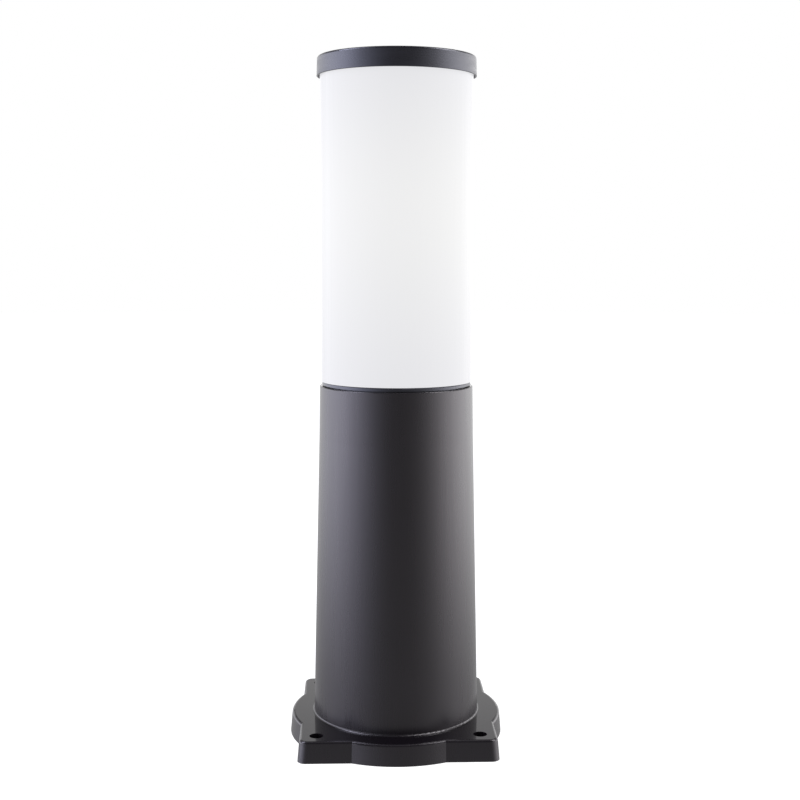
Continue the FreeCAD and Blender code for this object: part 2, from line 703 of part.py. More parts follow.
def make_lamp_boards():
    board_bottom = "globe_rim_height - led_board_thickness - board_clearance"
    ring("lamp_led_board", "0", "led_board_radius", board_bottom, f"{board_bottom} + led_board_thickness")
    board = new_body("lamp_driver_board")
    low = f"{SHELL_TOP} + board_clearance"
    sketch = rectangle(new_sketch(board, "XZ_Plane"), "-driver_board_width / 2", "driver_board_width / 2",
                       low, f"{low} + driver_board_length")
    pad(board, sketch, "driver_board_thickness", both_ways=True)


def make_lamp_globe():
    """Opal dome: one ball inside another, cut off level at the housing's rim."""
    balls = []
    for name, radius in (("globe_outside", "globe_radius"), ("globe_inside", "globe_radius - globe_wall")):
        ball = doc.addObject("Part::Sphere", name)
        bind(ball, "Radius", radius)
        bind(ball, "Placement.Base.z", "globe_centre_height")
        balls.append(ball)
    hollow = doc.addObject("Part::Cut", "globe_hollow")
    hollow.Base, hollow.Tool = balls
    below = doc.addObject("Part::Cylinder", "globe_below_rim")
    bind(below, "Radius", "globe_radius + overcut")
    bind(below, "Height", "globe_radius")
    bind(below, "Placement.Base.z", "globe_rim_height - globe_radius")
    globe = doc.addObject("Part::Cut", "lamp_globe")
    globe.Base, globe.Tool = hollow, below
    globe.Label = "lamp_globe"


# ---------------------------------------------------------------- wiring box

BOX_TOP = "(carrier_height - box_seal_thickness)"


def box_outline(body, length, width, low, height):
    """Upright block with its four upright edges rounded."""
    sketch = rectangle(new_sketch(body, lift=low), f"-({length}) / 2", f"({length}) / 2",
                       f"-({width}) / 2", f"({width}) / 2")
    pad(body, sketch, height)
    round_edges(body, "box_corner_radius", lambda edge: edge.BoundBox.ZLength > number(height) - TOLERANCE)


def make_ears(body, low, height):
    """Two round ears at the ends of the box, each with its screw hole."""
    ear_sketch = circle(new_sketch(body, lift=low), "box_ear_radius", ("box_screw_offset", "0"))
    ear = pad(body, ear_sketch, height)
    bridge_sketch = rectangle(new_sketch(body, lift=low), "box_length / 2 - box_wall / 2", "box_screw_offset",
                              "-box_ear_radius", "box_ear_radius")
    bridge = pad(body, bridge_sketch, height)
    mirror(body, [ear, bridge])
    hole = pocket(body, circle(new_sketch(body, lift=low), "screw_hole_radius", ("box_screw_offset", "0")),
                  height)
    mirror(body, [hole])


def make_terminal_box():
    box = new_body("terminal_box")
    box_outline(box, "box_length", "box_width", "box_bottom", f"{BOX_TOP} - box_bottom")
    cavity = rectangle(new_sketch(box, lift="box_bottom + box_floor"), "-box_length / 2 + box_wall",
                       "box_length / 2 - box_wall", "-box_width / 2 + box_wall", "box_width / 2 - box_wall")
    pocket(box, cavity, f"{BOX_TOP} - box_bottom - box_floor")
    make_ears(box, f"{BOX_TOP} - box_ear_height", "box_ear_height")
    pocket(box, circle(new_sketch(box, lift="box_bottom"), "gland_hole_radius"), "box_floor")

    seal = new_body("terminal_box_seal")
    box_outline(seal, "box_length", "box_width", BOX_TOP, "box_seal_thickness")
    opening = rectangle(new_sketch(seal, lift=BOX_TOP), "-box_length / 2 + box_wall * 2",
                        "box_length / 2 - box_wall * 2", "-box_width / 2 + box_wall * 2",
                        "box_width / 2 - box_wall * 2")
    pocket(seal, opening, "box_seal_thickness")
    make_ears(seal, BOX_TOP, "box_seal_thickness")

    screws = new_body("terminal_box_screws")
    ear_bottom = f"({BOX_TOP} - box_ear_height)"
    features = screw(screws, f"{ear_bottom} - screw_head_height", ear_bottom,
                     f"{CARRIER_TOP} + fixing_screw_reach", offset="box_screw_offset")
    mirror(screws, features)


CLAMP_CENTRE = ("pole_spacing / 2", "clamp_height")


def make_terminal_block():
    """Two-pole block hung under the carrier, with its brass clamps and their screws."""
    block = new_body("terminal_block")
    bottom = "(carrier_height - block_height)"
    body_sketch = rectangle(new_sketch(block, lift=bottom), "-block_length / 2", "block_length / 2",
                            "-block_width / 2", "block_width / 2")
    pad(block, body_sketch, "block_height")
    clamp_way_sketch = circle(new_sketch(block, "XZ_Plane"), "clamp_radius", CLAMP_CENTRE)
    clamp_way = pocket(block, clamp_way_sketch, "block_width + overcut", both_ways=True)
    screw_way_radius = "terminal_screw_head_radius + terminal_screw_gap"
    screw_way_sketch = circle(new_sketch(block, lift=bottom), screw_way_radius, ("pole_spacing / 2", "0"))
    screw_way = pocket(block, screw_way_sketch, f"clamp_height - {bottom}")
    mirror(block, [clamp_way, screw_way])
    pocket(block, circle(new_sketch(block, lift=bottom), "screw_hole_radius"), "block_height")

    clamps = new_body("terminal_clamps")
    outer = pad(clamps, circle(new_sketch(clamps, "XZ_Plane"), "clamp_radius", CLAMP_CENTRE),
                "clamp_length", both_ways=True)
    inner = pocket(clamps, circle(new_sketch(clamps, "XZ_Plane"), "clamp_bore_radius", CLAMP_CENTRE),
                   "clamp_length + overcut", both_ways=True)
    tapped_sketch = circle(new_sketch(clamps, lift="clamp_height - clamp_radius"), "terminal_screw_radius",
                           ("pole_spacing / 2", "0"))
    tapped = pocket(clamps, tapped_sketch, "clamp_radius")
    mirror(clamps, [outer, inner, tapped])

    clamp_screws = new_body("terminal_clamp_screws")
    seat = "clamp_height - clamp_radius - terminal_screw_gap"
    features = screw(clamp_screws, f"{seat} - terminal_screw_head_height", seat,
                     f"{seat} + terminal_screw_reach", offset="pole_spacing / 2", small=True)
    mirror(clamp_screws, features)

    fixing = new_body("terminal_block_screw")
    screw(fixing, f"{bottom} - screw_head_height", bottom, f"{CARRIER_TOP} + fixing_screw_reach - pilot_roof")


def make_lead(label, side):
    """Insulated lead from a block clamp, round one bend and up into a lampholder terminal."""
    body = new_body(label)
    shift = f"{side} * pole_spacing / 2"
    path = new_sketch(body, "YZ_Plane", lift=shift)
    start = ("lead_start", "clamp_height")
    finish = ("lead_offset", "lead_top_height")
    bend_start = Vector(number("lead_offset - lead_bend"), number("clamp_height"), 0)
    bend_end = Vector(number("lead_offset"), number("clamp_height + lead_bend"), 0)
    centre = Vector(bend_start.x, bend_end.y, 0)
    along = path.addGeometry(Part.LineSegment(Vector(number(start[0]), number(start[1]), 0), bend_start))
    arc = path.addGeometry(Part.ArcOfCircle(Part.Circle(centre, Vector(0, 0, 1), number("lead_bend")),
                                            -math.pi / 2, 0))
    upward = path.addGeometry(Part.LineSegment(bend_end, Vector(number(finish[0]), number(finish[1]), 0)))
    path.addConstraint(Sketcher.Constraint("Horizontal", along))
    path.addConstraint(Sketcher.Constraint("Vertical", upward))
    path.addConstraint(Sketcher.Constraint("Tangent", along, 2, arc, 1))
    path.addConstraint(Sketcher.Constraint("Tangent", arc, 2, upward, 1))
    bend = path.addConstraint(Sketcher.Constraint("Radius", arc, number("lead_bend")))
    bind(path, f"Constraints[{bend}]", "lead_bend")
    place_point(path, along, 1, start)
    place_point(path, upward, 2, finish)

    section = circle(new_sketch(body, "XZ_Plane", lift="-lead_start"), "lead_radius", (shift, "clamp_height"))
    pipe = add_feature(body, "AdditivePipe", section)
    pipe.Spine = (path, ["Edge1", "Edge2", "Edge3"])
    doc.recompute()
    straight = number("lead_offset - lead_start + lead_top_height - clamp_height - 2 * lead_bend")
    length = straight + math.pi / 2 * number("lead_bend")
    expected = math.pi * number("lead_radius") ** 2 * length
    print(f"{label}: length {length:.1f}, bend radius {number('lead_bend'):.1f}, "
          f"volume {body.Shape.Volume:.1f} against {expected:.1f}")


# ---------------------------------------------------------------- cable gland

def make_gland():
    """Cable gland through the floor of the box: body, washer, locknut, rubber sleeve and dome nut."""
    flange_top = "(box_bottom - gland_washer_thickness)"
    flange_bottom = f"({flange_top} - gland_flange_height)"
    stem_bottom = f"({flange_bottom} - gland_stem_length)"

    body = new_body("gland_body")
    pad(body, hexagon(new_sketch(body, lift=flange_bottom), "gland_flange_flats"), "gland_flange_height")
    pad(body, circle(new_sketch(body, lift=flange_top), "gland_thread_radius"),
        "gland_thread_length + gland_washer_thickness")
    pad(body, circle(new_sketch(body, lift=stem_bottom), "gland_stem_radius"), "gland_stem_length")
    pocket(body, circle(new_sketch(body, lift=stem_bottom), "gland_bore_radius"),
           "gland_stem_length + gland_flange_height + gland_washer_thickness + gland_thread_length")

    ring("gland_washer", "gland_hole_radius", "gland_washer_radius", flange_top, "box_bottom")

    locknut = new_body("gland_locknut")
    floor_top = "(box_bottom + box_floor)"
    pad(locknut, hexagon(new_sketch(locknut, lift=floor_top), "gland_locknut_flats"), "gland_locknut_height")
    pocket(locknut, circle(new_sketch(locknut, lift=floor_top), "gland_thread_radius"),
           "gland_locknut_height")

    sleeve_bottom = f"({stem_bottom} - gland_seal_drop)"
    ring("gland_seal", "gland_bore_radius - gland_seal_wall", "gland_bore_radius",
         sleeve_bottom, f"{sleeve_bottom} + gland_seal_length")

    nut_top = f"({flange_bottom} - gland_nut_gap)"
    nut_bottom = f"({nut_top} - gland_nut_length)"
    roof_top = f"{nut_bottom} + gland_nut_roof"
    nut = new_body("gland_nut")
    pad(nut, hexagon(new_sketch(nut, lift=roof_top), "gland_flange_flats"),
        "gland_nut_length - gland_nut_roof")
    dome = [("0", nut_bottom), ("gland_stem_radius", nut_bottom), ("gland_flange_flats / 2", roof_top),
            ("0", roof_top)]
    revolution(nut, polygon(new_sketch(nut, "XZ_Plane"), dome))
    pocket(nut, circle(new_sketch(nut, lift=nut_bottom), "gland_bore_radius - gland_seal_wall"),
           "gland_nut_length")
    pocket(nut, circle(new_sketch(nut, lift=roof_top), "gland_nut_bore_radius"),
           "gland_nut_length - gland_nut_roof")


# ---------------------------------------------------------------- build, check and write

make_post()
make_lamp_carrier()
make_carrier_screws()
make_diffuser_collar()
make_cap()
make_head_rings()
make_lampholder()
make_lamp_cap()
make_lamp_housing()
make_lamp_boards()
make_lamp_globe()
make_terminal_box()
make_terminal_block()
make_lead("lead_live", -1)
make_lead("lead_neutral", 1)
make_gland()
doc.recompute()

failed = [thing.Label for thing in doc.Objects if {"Invalid", "Error"} & set(thing.State)]
if failed:
    raise RuntimeError(f"these objects failed: {failed}")

subparts = [thing for thing in doc.Objects if thing.TypeId == "PartDesign::Body"]
subparts.append(doc.getObject("lamp_globe"))
os.makedirs("parts", exist_ok=True)
for subpart in subparts:
    shape = subpart.Shape
    if shape.isNull() or not shape.isValid() or not shape.Solids:
        raise RuntimeError(f"{subpart.Label} has no valid solid")
    shape.exportStep(f"parts/{subpart.Label}.step")
print(f"{len(subparts)} sub-parts written")
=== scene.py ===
"""Looks of the bollard light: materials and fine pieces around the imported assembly, in soft studio light.

Lengths are in metres. Places come from the frame's boxes; the camera and lights are placed about the object.
"""

import json
import math

import bmesh
import bpy
from mathutils import Matrix, Vector


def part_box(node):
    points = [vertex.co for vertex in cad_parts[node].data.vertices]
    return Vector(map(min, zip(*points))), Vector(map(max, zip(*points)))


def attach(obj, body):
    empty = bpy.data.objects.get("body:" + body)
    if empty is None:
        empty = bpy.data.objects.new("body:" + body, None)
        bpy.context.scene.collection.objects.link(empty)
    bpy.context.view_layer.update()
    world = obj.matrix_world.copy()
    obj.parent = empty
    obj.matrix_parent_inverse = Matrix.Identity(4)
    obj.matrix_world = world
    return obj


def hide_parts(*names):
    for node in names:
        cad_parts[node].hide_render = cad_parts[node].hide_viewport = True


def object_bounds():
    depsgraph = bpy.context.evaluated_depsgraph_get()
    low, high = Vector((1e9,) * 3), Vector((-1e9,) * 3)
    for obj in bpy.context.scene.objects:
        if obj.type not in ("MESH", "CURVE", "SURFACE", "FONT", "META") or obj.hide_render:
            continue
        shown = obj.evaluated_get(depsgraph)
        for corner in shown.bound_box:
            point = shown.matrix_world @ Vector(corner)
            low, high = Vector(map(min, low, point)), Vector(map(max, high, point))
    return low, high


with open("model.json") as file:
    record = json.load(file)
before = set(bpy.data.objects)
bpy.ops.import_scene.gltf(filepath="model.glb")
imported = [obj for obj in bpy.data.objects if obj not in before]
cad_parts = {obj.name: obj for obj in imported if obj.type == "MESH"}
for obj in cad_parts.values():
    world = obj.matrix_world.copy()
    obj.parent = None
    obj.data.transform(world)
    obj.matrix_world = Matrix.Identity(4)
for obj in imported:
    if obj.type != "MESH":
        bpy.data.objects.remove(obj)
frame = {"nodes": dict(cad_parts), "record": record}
cad_low, cad_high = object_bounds()

# ---------------------------------------------------------------- camera

CAMERA_DISTANCE = 0.8807
CAMERA_SIDE = 0.0025
CAMERA_HEIGHT = 0.3269
CAMERA_TURN = math.radians(2.0)
CAMERA_PITCH = math.radians(6.53)
CAMERA_ROLL = math.radians(0.1)
CAMERA_LENS = 59.67
SENSOR_WIDTH = 36.0
NEAREST_SEEN = 0.01


def make_camera():
    """Camera in front of the object, a little to its left, looking slightly down."""
    data = bpy.data.cameras.new("camera")
    data.lens = CAMERA_LENS
    data.sensor_width = SENSOR_WIDTH
    data.clip_start = NEAREST_SEEN
    camera = bpy.data.objects.new("camera", data)
    bpy.context.collection.objects.link(camera)
    turn = Matrix.Rotation(-CAMERA_TURN, 4, "Z")
    place = Matrix.Translation((CAMERA_SIDE, -CAMERA_DISTANCE, CAMERA_HEIGHT))
    tilt = Matrix.Rotation(math.pi / 2 - CAMERA_PITCH, 4, "X")
    camera.matrix_world = turn @ place @ tilt @ Matrix.Rotation(CAMERA_ROLL, 4, "Z")
    bpy.context.scene.camera = camera


# ---------------------------------------------------------------- light and floor

WHITE = (1.0, 1.0, 1.0, 1.0)
COOL = (0.96, 0.98, 1.19)
NEUTRAL = (1.0, 0.985, 1.01)
# the room's glow by how far a direction points back or up: (from, to, glow at from, glow at to)
FRONT_TO_BACK = (-0.75, 0.35, 0.25, 1.25)
LEVEL_TO_CEILING = (0.12, 0.5, 1.0, 0.3)
LEVEL_TO_FLOOR = (-0.05, -0.35, 0.0, 1.0)
FLOOR_FRONT_TO_BACK = (0.0, 0.8, 0.38, 0.45)
# the two bright side walls: degrees to the right of the object's front, glow, colour
SIDE_WALLS = ((-86, 2.6, COOL), (95, 2.4, NEUTRAL))
SIDE_WALL_FOCUS = 3.0
SIDE_WALL_FOOT = (-0.30, -0.135, 0.0, 1.0)
SIDE_WALL_HEAD = (0.14, 0.40, 1.0, 0.0)
# the two lights overhead: degrees to the right of the object's front, colour
SOFTBOXES = {"softbox_left": (-85, COOL), "softbox_right": (85, NEUTRAL)}
SOFTBOX_DISTANCE = 1.6
SOFTBOX_SIZE = (0.7, 0.9)
SOFTBOX_RADIANCE = 5.4
SOFTBOX_RISE = math.radians(50)
FLOOR_RADIUS = 6.0
FLOOR_SEGMENTS = 96
FLOOR_DROP = 0.0002
PAPER_GREY = (0.3, 0.3, 0.3, 1.0)
PAPER_ROUGHNESS = 0.9
PAPER_GLOW = 1.0


def fade(tree, value, span, shape="SMOOTHSTEP"):
    """Map a value smoothly, from span's first two numbers to its last two."""
    node = tree.nodes.new("ShaderNodeMapRange")
    node.interpolation_type = shape
    for socket, setting in zip(("From Min", "From Max", "To Min", "To Max"), span):
        node.inputs[socket].default_value = setting
    tree.links.new(value, node.inputs["Value"])
    return node.outputs[0]


def compute(tree, operation, first, second):
    """Math on an output and on a second output or a number."""
    node = tree.nodes.new("ShaderNodeMath")
    node.operation = operation
    tree.links.new(first, node.inputs[0])
    if isinstance(second, bpy.types.NodeSocket):
        tree.links.new(second, node.inputs[1])
    else:
        node.inputs[1].default_value = second
    return node.outputs[0]


def multiply(tree, first, second):
    return compute(tree, "MULTIPLY", first, second)


def mix_numbers(tree, share, first, second):
    """Blend two values or outputs by a share from 0 to 1."""
    node = tree.nodes.new("ShaderNodeMix")
    tree.links.new(share, node.inputs["Factor"])
    for socket, source in (("A", first), ("B", second)):
        if isinstance(source, bpy.types.NodeSocket):
            tree.links.new(source, node.inputs[socket])
        else:
            node.inputs[socket].default_value = source
    return node.outputs["Result"]


def background(tree, colour, strength=None):
    """World shader of one colour, as strong as an output says."""
    node = tree.nodes.new("ShaderNodeBackground")
    node.inputs["Color"].default_value = (*colour, 1.0)
    if strength:
        tree.links.new(strength, node.inputs["Strength"])
    return node.outputs[0]


def side_wall(tree, way, height, turn, glow, colour):
    """Glow that is strongest towards one side of the room and level with the object."""
    toward = tree.nodes.new("ShaderNodeVectorMath")
    toward.operation = "DOT_PRODUCT"
    tree.links.new(way, toward.inputs[0])
    toward.inputs[1].default_value = (math.sin(math.radians(turn)), -math.cos(math.radians(turn)), 0.0)
    facing = fade(tree, toward.outputs["Value"], (0.0, 1.0, 0.0, 1.0), "LINEAR")
    share = compute(tree, "POWER", facing, SIDE_WALL_FOCUS)
    share = multiply(tree, share, fade(tree, height, SIDE_WALL_FOOT, "LINEAR"))
    share = multiply(tree, share, fade(tree, height, SIDE_WALL_HEAD))
    return background(tree, colour, compute(tree, "MULTIPLY", share, glow))


def make_room():
    """White room: bright behind the object and at its sides, dim in front, with a pale floor."""
    world = bpy.data.worlds.new("studio")
    bpy.context.scene.world = world
    world.use_nodes = True
    tree = world.node_tree
    tree.nodes.clear()
    way = tree.nodes.new("ShaderNodeTexCoord").outputs["Generated"]
    direction = tree.nodes.new("ShaderNodeSeparateXYZ")
    tree.links.new(way, direction.inputs[0])
    walls = fade(tree, direction.outputs["Y"], FRONT_TO_BACK)
    walls = multiply(tree, walls, fade(tree, direction.outputs["Z"], LEVEL_TO_CEILING))
    below = fade(tree, direction.outputs["Z"], LEVEL_TO_FLOOR)
    ground = fade(tree, direction.outputs["Y"], FLOOR_FRONT_TO_BACK)
    glow = background(tree, WHITE[:3], mix_numbers(tree, below, walls, ground))
    for turn, strength, colour in SIDE_WALLS:
        wall = side_wall(tree, way, direction.outputs["Z"], turn, strength, colour)
        both = tree.nodes.new("ShaderNodeAddShader")
        tree.links.new(glow, both.inputs[0])
        tree.links.new(wall, both.inputs[1])
        glow = both.outputs[0]
    path = tree.nodes.new("ShaderNodeLightPath")
    choice = tree.nodes.new("ShaderNodeMixShader")
    output = tree.nodes.new("ShaderNodeOutputWorld")
    tree.links.new(path.outputs["Is Camera Ray"], choice.inputs["Fac"])
    tree.links.new(glow, choice.inputs[1])
    tree.links.new(background(tree, WHITE[:3]), choice.inputs[2])
    tree.links.new(choice.outputs[0], output.inputs["Surface"])


def make_softbox(name, turn, colour):
    """Light overhead that faces the object, turned some degrees to the right of its front."""
    data = bpy.data.lights.new(name, "AREA")
    data.shape = "RECTANGLE"
    data.size, data.size_y = SOFTBOX_SIZE
    data.energy = SOFTBOX_RADIANCE * math.pi * data.size * data.size_y
    data.color = colour
    light = bpy.data.objects.new(name, data)
    bpy.context.collection.objects.link(light)
    aside = Matrix.Rotation(math.radians(turn), 4, "Z")
    raised = Matrix.Rotation(-SOFTBOX_RISE, 4, "X")
    place = Matrix.Translation((0.0, -SOFTBOX_DISTANCE, 0.0))
    upright = Matrix.Rotation(math.pi / 2, 4, "X")
    light.matrix_world = aside @ raised @ place @ upright
    light.visible_camera = False


def make_floor():
    """Plain pale floor under the foot, clear from below, that doesn't show in reflections."""
    mesh = bpy.data.meshes.new("floor")
    form = bmesh.new()
    bmesh.ops.create_circle(form, cap_ends=True, radius=FLOOR_RADIUS, segments=FLOOR_SEGMENTS)
    form.to_mesh(mesh)
    form.free()
    floor = bpy.data.objects.new("floor", mesh)
    bpy.context.collection.objects.link(floor)
    floor.location.z = cad_low[2] - FLOOR_DROP
    floor.visible_glossy = False
    floor.visible_diffuse = False
    floor.visible_shadow = False
    paper = bpy.data.materials.new("floor_paper")
    paper.use_nodes = True
    tree = paper.node_tree
    shader = tree.nodes["Principled BSDF"]
    shader.inputs["Base Color"].default_value = PAPER_GREY
    shader.inputs["Roughness"].default_value = PAPER_ROUGHNESS
    shader.inputs["Specular IOR Level"].default_value = 0.0
    shader.inputs["Emission Color"].default_value = WHITE
    shader.inputs["Emission Strength"].default_value = PAPER_GLOW
    side = tree.nodes.new("ShaderNodeNewGeometry")
    clear = tree.nodes.new("ShaderNodeBsdfTransparent")
    choice = tree.nodes.new("ShaderNodeMixShader")
    tree.links.new(side.outputs["Backfacing"], choice.inputs["Fac"])
    tree.links.new(shader.outputs[0], choice.inputs[1])
    tree.links.new(clear.outputs[0], choice.inputs[2])
    tree.links.new(choice.outputs[0], tree.nodes["Material Output"].inputs["Surface"])
    mesh.materials.append(paper)


make_camera()
make_room()
for softbox, (turn, colour) in SOFTBOXES.items():
    make_softbox(softbox, turn, colour)
make_floor()
bpy.context.scene.view_settings.view_transform = "Standard"

# ---------------------------------------------------------------- materials

# how long a pattern runs along X, Y and Z: the smaller the number, the longer
FLOW_STREAKS = (1.0, 1.0, 0.04)
DRAW_LINES = (1.0, 1.0, 0.02)
TOOL_LINES = (0.02, 0.02, 1.0)
TOOL_PATCHES = (0.12, 0.12, 1.0)
BRUSHED_UPWARDS = (1.0, 1.0, 0.1)
BRUSHED_ACROSS = (1.0, 0.1, 1.0)
BRUSHED_ROUND = (0.1, 0.1, 1.0)
# the stretch of a noise texture's values that most of it lies in
OPEN_SPAN = (0.3, 0.7)
# how far up a surface faces when it starts to count as level, and when it is fully level
LEVEL_ENOUGH = (0.9, 0.99)
# how dark and how light a colour's clouds are, as shares of the colour
BLACK_CLOUDS = (0.85, 1.1)
EVEN_CLOUDS = (0.9, 1.05)
MOULD_GRAIN = 0.0007


class Finish:
    """A Principled material that is built up from procedural layers in object space.

    Its plain colour and roughness are only for a viewer that leaves the layers out.
    """

    def __init__(self, name, colour, roughness, metallic=0.0):
        self.material = bpy.data.materials.new(name)
        self.material.use_nodes = True
        self.tree = self.material.node_tree
        self.shader = self.tree.nodes["Principled BSDF"]
        self.set("Base Color", (*colour, 1.0))
        self.set("Roughness", roughness)
        self.set("Metallic", metallic)
        self.place = self.tree.nodes.new("ShaderNodeTexCoord").outputs["Object"]
        self.normal = None

    def set(self, socket, setting):
        self.shader.inputs[socket].default_value = setting
        return self

    def drive(self, socket, output):
        self.tree.links.new(output, self.shader.inputs[socket])
        return self

    def noise(self, size, detail=3.0, stretch=(1.0, 1.0, 1.0)):
        """Cloudy pattern whose blotches are about size metres across, longer where stretch is small."""
        mapping = self.tree.nodes.new("ShaderNodeMapping")
        mapping.inputs["Scale"].default_value = stretch
        texture = self.tree.nodes.new("ShaderNodeTexNoise")
        texture.inputs["Scale"].default_value = 1.0 / size
        texture.inputs["Detail"].default_value = detail
        self.tree.links.new(self.place, mapping.inputs["Vector"])
        self.tree.links.new(mapping.outputs[0], texture.inputs["Vector"])
        return texture.outputs[0]

    def span(self, pattern, low, high, start=OPEN_SPAN[0], end=OPEN_SPAN[1]):
        """Pattern values from start to end become low to high."""
        return fade(self.tree, pattern, (start, end, low, high), "LINEAR")

    def height(self, low, high):
        """0 below one height and 1 above another."""
        apart = self.tree.nodes.new("ShaderNodeSeparateXYZ")
        self.tree.links.new(self.place, apart.inputs[0])
        return fade(self.tree, apart.outputs["Z"], (low, high, 0.0, 1.0))

    def clouds(self, colour, shares, size):
        """Colour whose blotches, about size metres across, lie between two shares of it."""
        dark, light = ([channel * share for channel in colour] for share in shares)
        return self.paint(self.span(self.noise(size), low=0.0, high=1.0), dark, light)

    def facing(self, axis):
        """How far the surface faces along an axis of the object, from -1 to 1."""
        apart = self.tree.nodes.new("ShaderNodeSeparateXYZ")
        normal = self.tree.nodes.new("ShaderNodeTexCoord").outputs["Normal"]
        self.tree.links.new(normal, apart.inputs[0])
        return apart.outputs[axis]

    def facing_up(self):
        """1 where the surface lies level, face up."""
        return fade(self.tree, self.facing("Z"), (*LEVEL_ENOUGH, 0.0, 1.0))

    def blend(self, share, first, second):
        return mix_numbers(self.tree, share, first, second)

    def roughness(self, pattern, low, high):
        return self.drive("Roughness", self.span(pattern, low, high))

    def paint(self, share, first, second):
        """Colour that goes from the first to the second by a share from 0 to 1."""
        node = self.tree.nodes.new("ShaderNodeMix")
        node.data_type = "RGBA"
        for socket, source in (("A", first), ("B", second)):
            if isinstance(source, bpy.types.NodeSocket):
                self.tree.links.new(source, node.inputs[socket])
            else:
                node.inputs[socket].default_value = (*source, 1.0)
        self.tree.links.new(share, node.inputs["Factor"])
        return node.outputs["Result"]

    def colour(self, pattern, dark, light):
        return self.drive("Base Color", self.paint(self.span(pattern, low=0.0, high=1.0), dark, light))

    def bump(self, pattern, height, where=None):
        """Relief of that height in metres, on top of any relief already there, where a mask is 1."""
        node = self.tree.nodes.new("ShaderNodeBump")
        node.inputs["Distance"].default_value = height
        self.tree.links.new(pattern, node.inputs["Height"])
        if where:
            self.tree.links.new(where, node.inputs["Strength"])
        if self.normal:
            self.tree.links.new(self.normal, node.inputs["Normal"])
        self.normal = node.outputs[0]
        return self.drive("Normal", self.normal)


POST_BLACK = (0.0085, 0.0066, 0.0094)
# painted light: the foot's colour near the ground, lighter than the post's black
FOOT_PAINTED_LIGHT = (0.0105, 0.0085, 0.0115)
# painted shade: share of the black that level tops keep, so they look darker
LEVEL_TOP_PAINTED_SHADE = 0.7
# heights over which the foot is painted lighter towards the ground as painted light, and from smooth to
# grained above its fillet
FOOT_LIGHT_FADE = (0.0135, 0.002)
FILLET_FADE = (0.0165, 0.024)
FILLET_GRAIN_SHARE = 0.25


def post_plastic():
    """Black satin moulding: upright flow streaks, a shinier level top on the foot that is painted darker as
    painted shade, and painted light that makes the foot lighter near the ground.
    """
    finish = Finish("post_plastic", POST_BLACK, roughness=0.42)
    finish.set("Specular IOR Level", 0.75).set("Specular Tint", (1.0, 0.96, 1.0, 1.0))
    level = finish.facing_up()
    on_wall = finish.clouds(POST_BLACK, BLACK_CLOUDS, size=0.03)
    # painted shade: level tops, such as the foot's, are painted darker than the wall
    on_top = [channel * LEVEL_TOP_PAINTED_SHADE for channel in POST_BLACK]
    wall_and_top = finish.paint(level, on_wall, on_top)
    # painted light: the foot turns lighter towards the ground
    finish.drive("Base Color", finish.paint(finish.height(*FOOT_LIGHT_FADE), wall_and_top, FOOT_PAINTED_LIGHT))
    satin = finish.span(finish.noise(size=0.004, stretch=FLOW_STREAKS), low=0.26, high=0.30)
    gloss = finish.span(finish.noise(size=0.008), low=0.06, high=0.10)
    finish.drive("Roughness", finish.blend(level, satin, gloss))
    grained = finish.blend(finish.height(*FILLET_FADE), FILLET_GRAIN_SHARE, 1.0)
    finish.bump(finish.noise(size=MOULD_GRAIN, detail=2.0), height=0.000012, where=grained)
    return finish.material


CAP_BLACK = (0.0115, 0.0105, 0.0150)
# depths under the cap's top, from smooth to grained
CAP_RIM_FADE = (0.0015, 0.003)
RIM_GRAIN_SHARE = 0.3


def cap_plastic():
    """Black moulding like the post, a little bluer, with fine level tool lines round its sides."""
    finish = Finish("cap_plastic", CAP_BLACK, roughness=0.38)
    finish.set("Specular IOR Level", 0.9).set("Specular Tint", (0.86, 0.88, 1.0, 1.0))
    finish.drive("Base Color", finish.clouds(CAP_BLACK, BLACK_CLOUDS, size=0.02))
    on_side = finish.span(finish.noise(size=0.003, stretch=TOOL_PATCHES), low=0.24, high=0.36)
    on_top = finish.span(finish.noise(size=0.01), low=0.29, high=0.33)
    finish.drive("Roughness", finish.blend(finish.facing_up(), on_side, on_top))
    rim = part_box("cap")[1][2]
    below_rim = finish.height(*(rim - depth for depth in CAP_RIM_FADE))
    grained = finish.blend(below_rim, RIM_GRAIN_SHARE, 1.0)
    finish.bump(finish.noise(size=0.0009, stretch=TOOL_LINES), height=0.000008, where=below_rim)
    finish.bump(finish.noise(size=MOULD_GRAIN, detail=2.0), height=0.000006, where=grained)
    return finish.material


# the tube's painted light: its brightest place as a share of its length, and how far past its ends the glow
# would fade out; towards the ends the glow is painted dimmer as painted shade
GLOW_PEAK = 0.55
GLOW_BELOW = 0.03
GLOW_ABOVE = 0.02
# painted shade: the dimmer glow colour at the tube's ends
SHADED_GLOW_AT_ENDS = (0.90, 0.90, 0.93)
GLOW_IN_MIDDLE = (1.0, 1.0, 1.0)
GLOW_AHEAD = 0.80
GLOW_SIDEWAYS = 0.66
# the square of how far sideways a surface faces when its glow starts to dim
SIDEWAYS_FROM = 0.82


